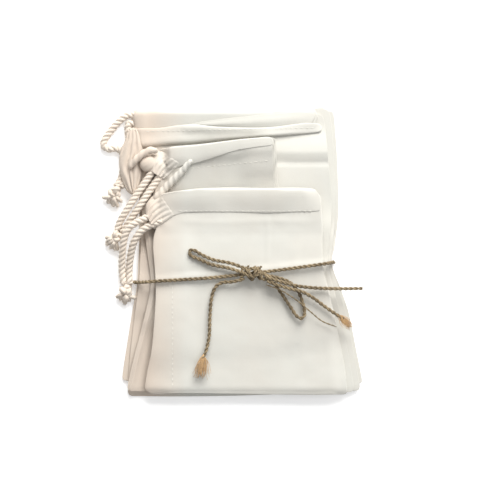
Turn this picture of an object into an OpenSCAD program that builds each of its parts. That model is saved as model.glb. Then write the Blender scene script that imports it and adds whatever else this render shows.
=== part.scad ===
// A bundle of three folded cotton drawstring bags, laid flat on each other and
// tied round with jute twine. Millimetres, +Z up, resting on the face z = 0.

/* [Bundle] */
// Width of the bundle over its flared lower corners
bundle_w = 166; // [160:1:172]
// Length of the bundle from the top casing to the lowest fold
bundle_l = 202; // [198:1:206]

/* [Cloth] */
// Height that one loosely laid ply of cotton takes up
ply_h = 1.3; // [1.2:0.05:1.35]
// Height of the large bag's folded-behind half, two plies and their air
tail_h = 3.6; // [3.5:0.1:3.8]
// Height of a drawcord casing
casing_h = 6; // [5.9:0.05:6.1]
// Distance between the two cord runs inside a casing
run_gap = 6; // [5.8:0.1:6.2]
// Length of one stitch
stitch_l = 2.2; // [1.5:0.1:2.6]

/* [Drawcord] */
// Diameter of the cotton drawcord
cord_d = 4; // [3.8:0.05:4.1]
// Bore of the casing's tunnels
tunnel_d = 4.7; // [4.6:0.05:4.9]
// Radius of the overhand knot that joins a drawcord's ends
knot_r = 4.2; // [4:0.1:4.3]
// Length of the frayed end below a knot
fray_l = 9; // [6:0.5:9]
// How far the drawcord pulls out of the large bag's casing
pull = 15; // [5:1:15]

/* [Twine] */
// Diameter of the jute twine
twine_d = 2.5; // [2.2:0.1:2.5]
// Diameter of the thin stray strand
strand_d = 1; // [0.6:0.1:1]
// Radius of the bow knot
bow_r = 3.4; // [3:0.1:3.4]

/* [Hidden] */

// Colours
cotton = [0.93, 0.91, 0.86];
cotton_warm = [0.90, 0.85, 0.77];
cotton_cord = [0.88, 0.83, 0.76];
thread = [0.85, 0.82, 0.74];
jute = [0.52, 0.42, 0.29];
jute_pale = [0.80, 0.64, 0.42];

// Edges of the bundle
right_x = bundle_w / 2;
left_x = -bundle_w / 2;
top_y = bundle_l / 2;
bottom_y = -bundle_l / 2;

// Levels of the plies, from the resting face up
large_back_z = tail_h;
large_front_z = large_back_z + ply_h;
large_top_z = large_front_z + ply_h;
medium_back_z = large_top_z + ply_h;
medium_front_z = medium_back_z + ply_h;
medium_top_z = medium_front_z + ply_h;
small_back_z = medium_top_z + ply_h;
small_front_z = small_back_z + ply_h;
small_top_z = small_front_z + ply_h;

// Stitches stand this high on the cloth and are this wide
stitch_h = 0.3;
stitch_w = 0.8;
stitch_pitch = 3.6;

// Casings: left end, length, turn about Z and the level of the cord's axis
casing_w = run_gap + casing_h;
large_mouth = [-76, 92.5, casing_h / 2];
large_casing_l = 124;
large_panel_top_y = large_mouth[1] - casing_w / 2;
medium_mouth = [-47, 66.6, large_top_z + casing_h / 2];
medium_casing_l = 68;
medium_turn = 5.4;
small_mouth = [-52, 36.5, medium_top_z + casing_h / 2];
small_casing_l = 104;
small_panel_top_y = small_mouth[1] - casing_w / 2 - 1;
end_wall = 2;
lead_in = 20;

// The medium and the small bag's gathered mouths point down and to the left
medium_exit = [-59, 54, medium_mouth[2]];
medium_exit_turn = 56.6;
small_exit = [-63, 21.4, small_mouth[2]];
small_exit_turn = 25;
gather_l = 10;
gather_lead_in = 8;

// Knots, with the heading of the frayed end that hangs from each
large_knot = [-88, 41.5, 4.4];
medium_knot = [-86, 11, 4.4];
small_knot = [-80, -27, 4.4];
fray_h = 4.6;
fray_z = 0.3;

// Channel under the bundle for the twine, and the level of the bow
channel_h = 3.1;
channel_w = 3.6;
channel_turn = 5.6;
bow_z = small_top_z + 3.6;

// A point of a cord's lead-in: along a casing from its mouth, on one run
function run_point(mouth, turn, side, inside) =
    mouth + [
        inside * cos(turn) - side * run_gap / 2 * sin(turn),
        inside * sin(turn) + side * run_gap / 2 * cos(turn),
        0
    ];
function lead(mouth, turn, side, inside) =
    [run_point(mouth, turn, side, inside), run_point(mouth, turn, side, 0)];

// Free drawcords, from inside the casing to the knot
large_cord_a_route = concat(lead(large_mouth, 0, 1, lead_in), [
    [-81, 94.2, 2.8], [-86.5, 89.5, 2.4], [-91.5, 83.5, 2.3], [-95.3, 78, 2.3], [-95.8, 73.8, 2.3],
    [-92, 71.6, 2.3], [-87.5, 72.2, 2.3], [-83.5, 70, 2.3], [-82, 64.5, 2.3], [-82.4, 57, 2.3],
    [-84, 50.5, 2.6], [-87, 45.5, 4]
]);
large_cord_b_route = concat(lead(large_mouth, 0, -1, lead_in), [
    [-78.6, 88, 2.8], [-79, 84.5, 2.4], [-78, 79, 2.3], [-77.2, 72, 2.3],
    [-77.4, 62, 2.3], [-79.4, 53, 2.6], [-83.5, 45, 4]
]);
medium_cord_a_route = concat(lead(medium_exit, medium_exit_turn, -1, gather_lead_in), [
    [-60.5, 46.4, 9.1], [-65, 40, 9], [-70.5, 31.5, 8.6], [-75.5, 24, 7], [-79.5, 18, 5.4],
    [-82.5, 13.5, 4.6]
]);
medium_cord_b_route = concat(lead(medium_exit, medium_exit_turn, 1, gather_lead_in), [
    [-65.6, 49.6, 9.1], [-70, 43.3, 9], [-75.5, 35, 8.6], [-80, 28, 7.4], [-84, 21.5, 5.6],
    [-86.3, 15.3, 4.6]
]);
small_cord_a_route = concat(lead(small_exit, small_exit_turn, 1, gather_lead_in), [
    [-69, 21.9, 13], [-73.5, 19.6, 12.9], [-77.3, 16.6, 12.4], [-80, 12, 11.6], [-81.8, 5, 10],
    [-82.8, -4, 7], [-83, -13, 4.4], [-81.8, -22.5, 4.2]
]);
small_cord_b_route = concat(lead(small_exit, small_exit_turn, -1, gather_lead_in), [
    [-66, 16.5, 13], [-69.8, 13.5, 12.4], [-72.8, 9.4, 11.4], [-75.2, 4, 9.8], [-77, -4, 6.8],
    [-78, -13, 4.4], [-77.8, -22.6, 4.4]
]);

// Twine, tied at the bow
wrap_route = [
    [-61.5, -20.6, 15.4], [-40, -19.3, 15.4], [-20, -18, 15.4], [8, -15, 15.4],
    [32, -12, 15.4], [56.5, -8.6, 15.4], [61, -8, 11], [64.6, -7.4, 4.4],
    [63.9, -7.5, 2.4], [61.5, -7.7, 1.5], [20, -11.9, 1.5], [-25, -16.4, 1.5],
    [-71, -21.1, 1.5], [-73.4, -21.4, 2.4], [-74.2, -21.5, 4.4], [-68.5, -21.2, 10]
];
left_loop_route = [
    [3, -11.6, 18.2], [-7, -8, 17], [-19, -5.6, 16], [-27, -2.2, 15.5], [-32.5, 1, 15.5],
    [-35.4, 0.4, 15.5], [-34.6, -2.6, 15.5], [-28, -5.6, 15.5], [-20, -9, 16],
    [-8.3, -11.4, 17.2], [0.6, -14.3, 18.4]
];
left_tail_route = [
    [2.2, -18.8, 17.4], [-6, -20.8, 16.6], [-13, -21.4, 15.8], [-18, -25, 15.4],
    [-20.5, -33, 15.4], [-21.5, -45, 15.4], [-22, -58, 15.4], [-24, -68, 15.4],
    [-26.5, -74, 15.4]
];
right_loop_route = [
    [14.5, -18.5, 18], [22, -21.5, 16.6], [28, -29, 15.5], [34, -38, 15.5],
    [38.5, -44.5, 15.5], [42, -46, 15.5], [44, -42.5, 15.5], [42.5, -35, 15.5],
    [39.5, -27.5, 15.5], [34, -21.5, 15.5], [27, -18.5, 16.2], [16.6, -16.2, 17.2]
];
long_tail_route = [
    [17.5, -17.5, 20], [25, -20, 19.8], [33, -22.3, 19], [41, -24, 17.2], [50, -25, 15.8],
    [60, -25.5, 15.4], [72, -25.6, 15], [84, -25.5, 14.5]
];
short_tail_route = [
    [18, -20.4, 19.8], [26, -23.2, 19.5], [34, -25.6, 19], [42, -27.6, 18.2],
    [50, -32, 16.6], [58, -38, 15.6], [66, -43.5, 15.5], [71, -46.5, 15.3]
];
stray_route = [
    [17.5, -22.8, 19.2], [26, -25.9, 18.8], [34, -30.5, 18.4], [41, -35.5, 18],
    [48, -41.5, 17], [56, -48, 15.4], [66, -52, 15]
];

// Sweep of a round section along a route, one ring at each point
function unit(v) = v / norm(v);
function heading(route, i, ring) =
    let (
        count = len(route),
        before = ring ? route[(i + count - 1) % count] : route[max(i - 1, 0)],
        after = ring ? route[(i + 1) % count] : route[min(i + 1, count - 1)]
    )
    unit(after - before);
function section(route, i, d, sides, across, ring) =
    let (
        t = heading(route, i, ring),
        u = unit(cross(across, t)),
        v = cross(t, u)
    )
    [for (k = [0:sides - 1]) route[i] + d / 2 * (cos(360 * k / sides) * u + sin(360 * k / sides) * v)];

module tube(route, d, across = [0, 0, 1], ring = false) {
    sides = 8;
    count = len(route);
    spans = ring ? count : count - 1;
    walls = [
        for (i = [0:spans - 1], k = [0:sides - 1])
            let (j = (i + 1) % count, m = (k + 1) % sides)
            each [
                [i * sides + k, j * sides + m, i * sides + m],
                [i * sides + k, j * sides + k, j * sides + m]
            ]
    ];
    first_cap = [for (k = [0:sides - 1]) k];
    last_cap = [for (k = [0:sides - 1]) count * sides - 1 - k];
    polyhedron(
        points = [for (i = [0:count - 1]) each section(route, i, d, sides, across, ring)],
        faces = ring ? walls : concat(walls, [first_cap, last_cap])
    );
}

// A ply of folded cloth: its outline, the level it lies at and its height
module ply(outline, level, height = ply_h) {
    translate([0, 0, level])
        linear_extrude(height)
            polygon(outline);
}

// Flat section with round edges, width across two runs
module flat_section(height) {
    square([run_gap, height], center = true);
    for (side = [-1, 1])
        translate([side * run_gap / 2, 0])
            circle(d = height, $fn = 48);
}

// Places a casing's own frame, x along the cord from the mouth inwards
module at_mouth(mouth, turn = 0) {
    translate(mouth)
        rotate([0, 0, turn])
            children();
}

module along_x(length) {
    rotate([90, 0, 90])
        linear_extrude(length)
            children();
}

// Casing with a tunnel for each run, joined where the cord turns round
module casing(length, travel) {
    turn_room = travel + 10;
    difference() {
        along_x(length)
            flat_section(casing_h);
        for (side = [-1, 1])
            translate([-1, side * run_gap / 2, 0])
                rotate([0, 90, 0])
                    cylinder(d = tunnel_d, h = length - end_wall + 1, $fn = 48);
        translate([length - end_wall - turn_room, 0, 0])
            along_x(turn_room)
                square([run_gap, tunnel_d], center = true);
    }
}

// Cloth drawn up round the two cords where they leave a bag
module gathered_mouth() {
    difference() {
        along_x(gather_l)
            flat_section(casing_h);
        for (side = [-1, 1])
            translate([-1, side * run_gap / 2, 0])
                rotate([0, 90, 0])
                    cylinder(d = tunnel_d, h = gather_l + 2, $fn = 48);
    }
}

// The drawcord inside a casing: two runs and the turn at the far end
module inner_cord(length, inside) {
    turn_x = length - end_wall - run_gap / 2 - cord_d / 2 - 0.5;
    union() {
        for (side = [-1, 1])
            translate([inside, side * run_gap / 2, 0])
                rotate([0, 90, 0])
                    cylinder(d = cord_d, h = turn_x - inside, $fn = 32);
        translate([turn_x, 0, 0])
            rotate([0, 0, -90])
                rotate_extrude(angle = 180, $fn = 48)
                    translate([run_gap / 2, 0])
                        circle(d = cord_d, $fn = 32);
    }
}

// Overhand knot
module knot(centre) {
    translate(centre)
        sphere(r = knot_r, $fn = 32);
}

// Frayed end below a knot: a flat fan of loose fibre
module frayed_end(centre, turn) {
    near_w = 5.6;
    far_w = 12;
    translate([centre[0], centre[1], fray_z])
        rotate([0, 0, turn])
            translate([knot_r + 0.1, 0, 0])
                linear_extrude(fray_h)
                    polygon([[0, -near_w / 2], [fray_l, -far_w / 2], [fray_l, far_w / 2], [0, near_w / 2]]);
}

// Row of stitches from one point to another
module stitches(start, end, level) {
    run = end - start;
    count = floor(norm(run) / stitch_pitch);
    translate([start[0], start[1], level])
        rotate([0, 0, atan2(run[1], run[0])])
            for (i = [0:count - 1])
                translate([i * stitch_pitch, -stitch_w / 2, 0])
                    cube([stitch_l, stitch_w, stitch_h]);
}

// Tuft of loose jute at a tail's end
module tuft(start, turn, length, width) {
    height = 1.8;
    translate([start[0], start[1], start[2] - height / 2])
        rotate([0, 0, turn])
            linear_extrude(height)
                polygon([[0, -0.9], [length, -width / 2], [length, width / 2], [0, 0.9]]);
}

// Large bag
module large_bag_folded_tail() {
    color(cotton_warm)
        difference() {
            ply([
                [-74, large_panel_top_y], [49, large_panel_top_y], [49, 99], [52, top_y], [60, top_y],
                [65, 96], [67, 64], [68, 27], [65, 4], [62.3, -8], [right_x, -91],
                [left_x, -90], [-71, -21], [-70, 0], [-71, 40]
            ], 0, tail_h);
            translate([-5, -14.4, channel_h / 2 - 1])
                rotate([0, 0, channel_turn])
                    cube([bundle_w, channel_w, channel_h + 2], center = true);
        }
}

module large_bag_back_panel() {
    color(cotton)
        ply([
            [-73, large_panel_top_y], [50, large_panel_top_y], [50, 98], [53, 100], [59, 100],
            [63, 95], [64.8, 64], [65.5, 27], [63.5, 4], [61, -8], [81, -96.5],
            [-79, bottom_y], [-70, -21], [-69.5, 0], [-70.5, 40]
        ], large_back_z);
}

module large_bag_front_panel() {
    color(cotton)
        ply([
            [-72, large_panel_top_y], [58, large_panel_top_y], [60.8, 62], [62.5, 27], [61, 5],
            [59, -8], [77, -97], [-77, -98], [-69, -21], [-69, 0], [-70, 40]
        ], large_front_z);
}

module large_bag_hem_band() {
    color(cotton)
        ply([[-72, 85.5], [56, 88], [56, 84], [21, 80], [-70, 72.5]], large_top_z);
}

module large_bag_casing() {
    color(cotton)
        at_mouth(large_mouth)
            casing(large_casing_l, pull);
}

module large_bag_hem_stitches() {
    color(thread)
        stitches([-66, 83.6], [52, 86], large_top_z + ply_h);
}

module large_bag_gathered_side() {
    color(cotton_warm)
        hull() {
            translate([-79.5, 66, 8.6])
                sphere(r = 3.4, $fn = 32);
            translate([-73, 68, 10.2])
                sphere(r = 3.6, $fn = 32);
            translate([-76, 45, 8.6])
                sphere(r = 2.4, $fn = 32);
        }
}

module large_bag_inner_cord() {
    color(cotton_cord)
        at_mouth(large_mouth)
            inner_cord(large_casing_l, lead_in);
}

module large_bag_cord_a() {
    color(cotton_cord)
        tube(large_cord_a_route, cord_d);
}

module large_bag_cord_b() {
    color(cotton_cord)
        tube(large_cord_b_route, cord_d);
}

module large_bag_knot() {
    color(cotton_cord)
        knot(large_knot);
}

module large_bag_frayed_end() {
    color(cotton_warm)
        frayed_end(large_knot, 250);
}

// Medium bag
module medium_bag_folded_tail() {
    color(cotton_warm)
        ply([
            [-45, 59], [22, 66], [24, 44], [52, 22], [53, -60], [55, -90],
            [-62, -90], [-64, -60], [-63, -21], [-62, 20], [-59, 41], [-55, 44]
        ], large_top_z);
}

module medium_bag_back_panel() {
    color(cotton)
        ply([
            [-45, 59], [22, 66], [23, 44], [51, 22], [52, -60], [54, -92],
            [-61, -92], [-63, -60], [-62, -21], [-61, 20], [-59, 41], [-55, 44]
        ], medium_back_z);
}

module medium_bag_front_panel() {
    color(cotton)
        ply([
            [-45, 59], [22, 66], [23, 44], [50, 22], [51, -60], [53, -94],
            [-60, -94], [-62, -60], [-61, -21], [-60, 20], [-58, 41], [-55, 44]
        ], medium_front_z);
}

module medium_bag_casing() {
    color(cotton)
        at_mouth(medium_mouth, medium_turn)
            casing(medium_casing_l, 0);
}

module medium_bag_gathered_mouth() {
    color(cotton_warm)
        at_mouth(medium_exit, medium_exit_turn)
            gathered_mouth();
}

module medium_bag_hem_stitches() {
    color(thread)
        stitches([-42, 57], [20, 63], medium_top_z);
}

module medium_bag_inner_cord() {
    color(cotton_cord)
        at_mouth(medium_mouth, medium_turn)
            inner_cord(medium_casing_l, 1);
}

module medium_bag_cord_a() {
    color(cotton_cord)
        tube(medium_cord_a_route, cord_d);
}

module medium_bag_cord_b() {
    color(cotton_cord)
        tube(medium_cord_b_route, cord_d);
}

module medium_bag_knot() {
    color(cotton_cord)
        knot(medium_knot);
}

module medium_bag_frayed_end() {
    color(cotton_warm)
        frayed_end(medium_knot, medium_exit_turn + 180);
}

// Small bag
module small_bag_folded_tail() {
    color(cotton_warm)
        ply([
            [-45, small_panel_top_y], [51, small_panel_top_y], [53, -8], [65, -53], [70, -95],
            [-67, -97], [-63, -56], [-61, -20], [-62, 8], [-61, 12], [-52, 17]
        ], medium_top_z);
}

module small_bag_back_panel() {
    color(cotton)
        ply([
            [-45, small_panel_top_y], [52, small_panel_top_y], [54, -8], [66, -53], [71.5, -97],
            [-66, -98.5], [-62.5, -56], [-60.5, -20], [-61.5, 8], [-60.5, 12], [-52, 17]
        ], small_back_z);
}

module small_bag_front_panel() {
    color(cotton)
        ply([
            [-45, small_panel_top_y], [54, small_panel_top_y], [55, -8], [67, -53], [73, -98],
            [-65, -99], [-62, -56], [-60, -20], [-61, 8], [-60, 12], [-52, 17]
        ], small_front_z);
}

module small_bag_casing() {
    color(cotton)
        at_mouth(small_mouth)
            casing(small_casing_l, 0);
}

module small_bag_gathered_mouth() {
    color(cotton_warm)
        at_mouth(small_exit, small_exit_turn)
            gathered_mouth();
}

module small_bag_hem_stitches() {
    color(thread)
        stitches([-43, 28], [50, 28], small_top_z);
}

module small_bag_side_seam() {
    color(thread)
        stitches([-47.5, -24], [-47.5, -95], small_top_z);
}

module small_bag_inner_cord() {
    color(cotton_cord)
        at_mouth(small_mouth)
            inner_cord(small_casing_l, 1);
}

module small_bag_cord_a() {
    color(cotton_cord)
        tube(small_cord_a_route, cord_d);
}

module small_bag_cord_b() {
    color(cotton_cord)
        tube(small_cord_b_route, cord_d);
}

module small_bag_knot() {
    color(cotton_cord)
        knot(small_knot);
}

module small_bag_frayed_end() {
    color(cotton_warm)
        frayed_end(small_knot, 255);
}

// Twine
module twine_wrap() {
    color(jute)
        tube(wrap_route, twine_d, across = [0, 1, 0], ring = true);
}

module twine_bow_knot() {
    color(jute)
        hull()
            for (centre = [[5, -15.6, bow_z], [12, -14.4, bow_z]])
                translate(centre)
                    sphere(r = bow_r, $fn = 32);
}

module twine_left_loop() {
    color(jute)
        tube(left_loop_route, twine_d);
}

module twine_left_tail() {
    color(jute)
        tube(left_tail_route, twine_d);
}

module twine_left_tuft() {
    color(jute_pale)
        tuft(left_tail_route[8] + [-0.2, -0.5, 0], 262, 14, 5);
}

module twine_right_loop() {
    color(jute)
        tube(right_loop_route, twine_d);
}

module twine_right_long_tail() {
    color(jute)
        tube(long_tail_route, twine_d);
}

module twine_right_short_tail() {
    color(jute)
        tube(short_tail_route, twine_d);
}

module twine_right_tuft() {
    color(jute_pale)
        tuft(short_tail_route[7] + [0.5, -0.3, 0], 329, 6, 3.4);
}

module twine_stray_strand() {
    color(jute)
        tube(stray_route, strand_d);
}

large_bag_folded_tail();
large_bag_back_panel();
large_bag_front_panel();
large_bag_hem_band();
large_bag_casing();
large_bag_hem_stitches();
large_bag_gathered_side();
large_bag_inner_cord();
large_bag_cord_a();
large_bag_cord_b();
large_bag_knot();
large_bag_frayed_end();
medium_bag_folded_tail();
medium_bag_back_panel();
medium_bag_front_panel();
medium_bag_casing();
medium_bag_gathered_mouth();
medium_bag_hem_stitches();
medium_bag_inner_cord();
medium_bag_cord_a();
medium_bag_cord_b();
medium_bag_knot();
medium_bag_frayed_end();
small_bag_folded_tail();
small_bag_back_panel();
small_bag_front_panel();
small_bag_casing();
small_bag_gathered_mouth();
small_bag_hem_stitches();
small_bag_side_seam();
small_bag_inner_cord();
small_bag_cord_a();
small_bag_cord_b();
small_bag_knot();
small_bag_frayed_end();
twine_wrap();
twine_bow_knot();
twine_left_loop();
twine_left_tail();
twine_left_tuft();
twine_right_loop();
twine_right_long_tail();
twine_right_short_tail();
twine_right_tuft();
twine_stray_strand();
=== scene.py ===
"""The visual model of three folded cotton drawstring bags, tied round with jute twine in a bow."""

import math
import random

import bpy
import numpy as np
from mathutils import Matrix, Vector


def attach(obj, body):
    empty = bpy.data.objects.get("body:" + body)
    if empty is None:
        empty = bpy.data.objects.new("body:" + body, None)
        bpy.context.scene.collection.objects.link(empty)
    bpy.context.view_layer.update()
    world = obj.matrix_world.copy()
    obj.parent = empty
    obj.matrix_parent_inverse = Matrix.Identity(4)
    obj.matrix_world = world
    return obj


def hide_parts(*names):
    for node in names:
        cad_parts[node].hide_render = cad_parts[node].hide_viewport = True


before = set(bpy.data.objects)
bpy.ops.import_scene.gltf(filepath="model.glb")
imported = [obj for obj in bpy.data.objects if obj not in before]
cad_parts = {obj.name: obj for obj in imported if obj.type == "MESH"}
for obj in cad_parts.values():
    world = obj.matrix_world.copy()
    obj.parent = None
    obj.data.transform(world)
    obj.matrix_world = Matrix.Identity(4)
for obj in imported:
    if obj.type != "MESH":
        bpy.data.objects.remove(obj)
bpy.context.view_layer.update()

MM = 0.001
UP = np.array([0.0, 0.0, 1.0])

SOFT_CORD_D = 5.0 * MM
TWINE_D = 2.5 * MM
ROUTE_STEP = 0.45 * MM
FLOOR_GAP = 0.15 * MM


# ---------------------------------------------------------------- camera, light and floor


def look_down_camera():
    """The camera hangs straight above the bundle and frames it as a flat lay."""
    middle = (-0.0007, 0.00805)
    height = 1.2
    view_width = 0.336
    data = bpy.data.cameras.new("camera")
    data.sensor_width = 36
    data.lens = data.sensor_width * height / view_width
    camera = bpy.data.objects.new("camera", data)
    camera.location = (*middle, height)
    bpy.context.scene.collection.objects.link(camera)
    bpy.context.scene.camera = camera


def area_light(name, location, target, size, watts, colour):
    """A square soft box at location, aimed at target."""
    data = bpy.data.lights.new(name, "AREA")
    data.size = size
    data.energy = watts
    data.color = colour
    light = bpy.data.objects.new(name, data)
    light.location = location
    aim = Vector(target) - Vector(location)
    light.rotation_euler = aim.to_track_quat("-Z", "Y").to_euler()
    bpy.context.scene.collection.objects.link(light)


def studio():
    """A white sweep, an even white sky and one soft key from the top of the view."""
    scene = bpy.context.scene
    scene.view_settings.view_transform = "Standard"
    world = bpy.data.worlds.new("sky")
    world.use_nodes = True
    sky = world.node_tree.nodes["Background"]
    fill(world.node_tree, sky, in_Color=(1, 1, 1, 1), in_Strength=0.40)
    scene.world = world
    area_light("key", (0.35, 1.58, 1.10), (0, 0, 0), 1.30, 62.0, (1.0, 0.99, 0.97))
    area_light("fill", (0.7, 0.2, 1.3), (0, 0, 0), 0.9, 4.0, (0.97, 0.98, 1.0))
    bpy.ops.mesh.primitive_plane_add(size=6)
    floor = bpy.context.object
    floor.name = "studio_floor"
    floor.data.materials.append(floor_material())


def floor_material():
    """White paper, lit from behind a little so that shadows on it stay pale."""
    material, tree, shader = new_material("studio_paper")
    fill(
        tree, shader, in_Base_Color=(0.98, 0.98, 0.98, 1), in_Roughness=0.9,
        in_Emission_Color=(1, 1, 1, 1), in_Emission_Strength=0.30,
    )
    return material


# ---------------------------------------------------------------- materials


HUSK_BROWN = (0.45, 0.33, 0.20, 1)
BLACK = (0, 0, 0)
WHITE = (1, 1, 1)


def new_material(name):
    """An empty node material: (material, its node tree, its principled shader)."""
    material = bpy.data.materials.new(name)
    material.use_nodes = True
    tree = material.node_tree
    return material, tree, tree.nodes["Principled BSDF"]


def fill(tree, node, **values):
    """Sets a node up. A value whose name starts with in_ goes to that input, named or numbered, as a
    constant or as a link from another node's output; any other value is a setting."""
    for key, value in values.items():
        if not key.startswith("in_"):
            setattr(node, key, value)
            continue
        name = key[3:].replace("_", " ")
        socket = node.inputs[int(name) if name.isdigit() else name]
        if isinstance(value, bpy.types.NodeSocket):
            tree.links.new(value, socket)
        else:
            socket.default_value = value
    return node


def add_node(tree, kind, **values):
    """A new shader node, set up."""
    return fill(tree, tree.nodes.new(f"ShaderNode{kind}"), **values)


def noise(tree, place, scale, **values):
    """Noise with that many features a metre."""
    return add_node(tree, "TexNoise", in_Vector=place, in_Scale=scale, **values).outputs["Fac"]


def maths(tree, operation, *operands, **settings):
    """The result of one operation on its operands."""
    inputs = {f"in_{k}": operand for k, operand in enumerate(operands)}
    return add_node(tree, "Math", operation=operation, **settings, **inputs).outputs[0]


def colour_ramp(tree, share, stops):
    """The colour at that share of the way along (position, colour) stops."""
    node = add_node(tree, "ValToRGB", in_Fac=share)
    ramp = node.color_ramp
    for element, (position, colour) in zip(ramp.elements, stops):
        element.position = position
        element.color = (*colour, 1)
    return node.outputs["Color"]


def bump(tree, height, strength):
    """The normal that a height between 0 and 1 gives."""
    node = add_node(tree, "Bump", in_Strength=strength, in_Distance=0.12 * MM, in_Height=height)
    return node.outputs["Normal"]


def weave(tree, place, thread):
    """(height, uneven height) of a plain weave: two crossed sets of threads, thread metres apart."""
    sets = []
    for axis in ("X", "Y"):
        wave = add_node(
            tree, "TexWave", bands_direction=axis, in_Vector=place, in_Scale=math.pi / (10 * thread),
            in_Distortion=0.9, in_Detail=1.0, in_Detail_Scale=2.0,
        )
        sets.append(wave.outputs["Fac"])
    crossed = maths(tree, "MULTIPLY", *sets)
    return crossed, maths(tree, "ADD", crossed, noise(tree, place, 260.0, in_Detail=2.0))


def cloth_material(name, pale, warm_and_shade_tone):
    """Unbleached plain-weave cotton: off-white, warmer in patches, with few husk flecks; warmer and darker
    to the left, partly its own tone and partly painted shade.
    """
    material, tree, shader = new_material(name)
    place = add_node(tree, "TexCoord").outputs["Object"]

    patches = noise(tree, place, 22.0, in_Detail=3.0, in_Roughness=0.6)
    to_right = add_node(tree, "SeparateXYZ", in_0=place).outputs["X"]
    # Painted shade: the cloth grows warmer and darker towards -X, partly its own beige tone and partly shade
    # on the side away from the light.
    left_painted_shade = add_node(
        tree, "MapRange", in_Value=to_right,
        in_From_Min=-0.038, in_From_Max=-0.066, in_To_Min=0.0, in_To_Max=0.75,
    )
    warmth_and_left_shade = maths(tree, "MULTIPLY_ADD", patches, 0.45, left_painted_shade.outputs["Result"], use_clamp=True)
    tone = colour_ramp(tree, warmth_and_left_shade, [(0.12, pale), (0.95, warm_and_shade_tone)])

    crossed, uneven = weave(tree, place, 0.55 * MM)
    woven = add_node(
        tree, "Mix", data_type="RGBA", blend_type="MULTIPLY", in_Factor=0.10, in_A=tone, in_B=crossed
    )

    husks = add_node(tree, "TexVoronoi", in_Vector=place, in_Scale=75.0).outputs["Distance"]
    speck = colour_ramp(tree, husks, [(0.018, WHITE), (0.03, BLACK)])
    rare = colour_ramp(tree, noise(tree, place, 60.0), [(0.60, BLACK), (0.64, WHITE)])
    fleck = maths(tree, "MULTIPLY", speck, rare)
    flecked = add_node(
        tree, "Mix", data_type="RGBA", in_Factor=fleck, in_A=woven.outputs["Result"], in_B=HUSK_BROWN
    )

    dryness = colour_ramp(tree, patches, [(0.2, (0.82, 0.82, 0.82)), (0.8, (0.95, 0.95, 0.95))])
    fill(
        tree, shader, in_Base_Color=flecked.outputs["Result"], in_Roughness=dryness,
        in_Normal=bump(tree, uneven, 0.35), in_Sheen_Weight=0.25, in_Sheen_Roughness=0.6,
        in_Specular_IOR_Level=0.2,
    )
    return material


def yarn_material(name, pale, dark, grain, sheen):
    """Spun fibre: streaky between pale and dark, with grain streaks per metre, dry and a little hairy."""
    material, tree, shader = new_material(name)
    place = add_node(tree, "TexCoord").outputs["Object"]
    streaks = noise(tree, place, grain, in_Detail=4.0, in_Roughness=0.65)
    lengths = noise(tree, place, grain * 0.09, in_Detail=2.0)
    both = maths(tree, "MULTIPLY_ADD", streaks, 0.6, maths(tree, "MULTIPLY", lengths, 0.4))
    fill(
        tree, shader, in_Base_Color=colour_ramp(tree, both, [(0.34, dark), (0.62, pale)]),
        in_Roughness=colour_ramp(tree, streaks, [(0.3, (0.8, 0.8, 0.8)), (0.7, (0.95, 0.95, 0.95))]),
        in_Normal=bump(tree, streaks, 0.45), in_Sheen_Weight=sheen, in_Sheen_Roughness=0.5,
        in_Specular_IOR_Level=0.2,
    )
    return material


# ---------------------------------------------------------------- lines, tubes and meshes


def resample(line, step):
    """Points evenly spaced along a polyline, about step apart."""
    lengths = np.linalg.norm(np.diff(line, axis=0), axis=1)
    along = np.concatenate([[0], np.cumsum(lengths)])
    count = max(int(round(along[-1] / step)), 2) + 1
    wanted = np.linspace(0, along[-1], count)
    return np.stack([np.interp(wanted, along, line[:, k]) for k in range(line.shape[1])], axis=1)


def length_of(line):
    """The length of a polyline."""
    return np.linalg.norm(np.diff(line, axis=0), axis=1).sum()


def smooth_line(points, step):
    """Points about step apart on a smooth curve through the given ones."""
    p = np.array(points, float)
    padded = np.vstack([2 * p[0] - p[1], p, 2 * p[-1] - p[-2]])
    t = np.linspace(0, 1, 12, endpoint=False)[:, None]
    spans = []
    for a, b, c, d in zip(padded, padded[1:], padded[2:], padded[3:]):
        cubic = 2 * b + (c - a) * t + (2 * a - 5 * b + 4 * c - d) * t**2 + (3 * b - a - 3 * c + d) * t**3
        spans.append(0.5 * cubic)
    return resample(np.vstack([*spans, p[-1:]]), step)


def cord_line(route):
    """The centre line in metres of a cord whose route is in millimetres."""
    return smooth_line(np.array(route) * MM, ROUTE_STEP)


def unit(vectors):
    """Vectors scaled to length one."""
    return vectors / np.maximum(np.linalg.norm(vectors, axis=-1, keepdims=True), 1e-12)


def level_axes(degrees):
    """(out, across): level directions at that heading, and a quarter turn to its left."""
    angle = math.radians(degrees)
    out = np.array([math.cos(angle), math.sin(angle), 0.0])
    return out, np.array([-out[1], out[0], 0.0])


def frames_along(line):
    """(tangents, normals, side directions) that turn as little as they can along a line."""
    tangents = unit(np.gradient(line, axis=0))
    normal = np.cross(tangents[0], UP if abs(tangents[0][2]) < 0.9 else np.array([1.0, 0, 0]))
    normals = []
    for tangent in tangents:
        normal = unit(normal - tangent * np.dot(normal, tangent))
        normals.append(normal)
    normals = np.array(normals)
    return tangents, normals, np.cross(tangents, normals)


def tube(line, radii, sides, ridges=0, ridge_depth=0.0, ridge_turns=0.0):
    """(vertices, faces) of a closed tube round a line, with optional ridges that wind round it."""
    _, normals, across = frames_along(line)
    count = len(line)
    radii = np.broadcast_to(np.asarray(radii, float), (count,))
    angles = np.linspace(0, 2 * math.pi, sides, endpoint=False)
    wind = np.linspace(0, ridge_turns * 2 * math.pi, count)[:, None]
    swell = 1 + ridge_depth * np.cos(ridges * (angles[None, :] + wind))
    reach = (radii[:, None] * swell)[..., None]
    cos, sin = np.cos(angles)[None, :, None], np.sin(angles)[None, :, None]
    around = cos * normals[:, None] + sin * across[:, None]
    rings = line[:, None] + reach * around
    return rings.reshape(-1, 3), ring_faces(count, sides)


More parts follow.
